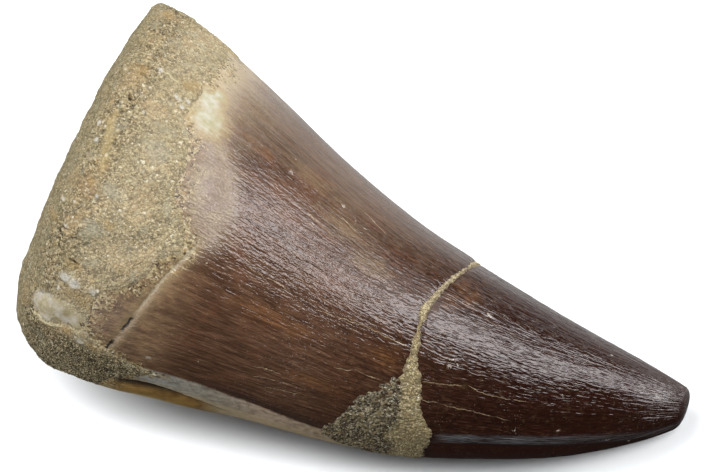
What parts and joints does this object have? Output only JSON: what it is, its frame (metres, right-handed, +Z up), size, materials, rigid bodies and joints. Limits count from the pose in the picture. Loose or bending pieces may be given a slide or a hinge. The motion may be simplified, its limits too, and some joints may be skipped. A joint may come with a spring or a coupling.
{
  "type": "fossil mosasaur tooth",
  "caption": "Curved conical fossil reptile tooth lying on its side, dark brown enamel, sandy matrix round its root end and a filled break round the crown.",
  "frame": {"origin": "middle of the object's footprint box, on the surface that it rests on", "axes": "+X along the tooth from its root end to its tip, +Y towards the hollow side of its curve, +Z up as it lies on its side"},
  "size_m": [0.0586, 0.0344, 0.0267],
  "materials": {
    "enamel": "wrinkled fossil enamel, dark chocolate brown with mauve and ochre patches, semi-gloss on the wrinkles, matt in the furrows",
    "sandy_matrix": "fine khaki phosphate sand, cemented, with dark and pale grains and small white bone chips, dead matt",
    "sandy_filler": "pale yellow sandy cement, matt, grains showing"
  },
  "bodies": {
    "root": {"tooth": "enamel", "matrix": "sandy_matrix", "break_filler": "sandy_filler"}
  },
  "joints": []
}
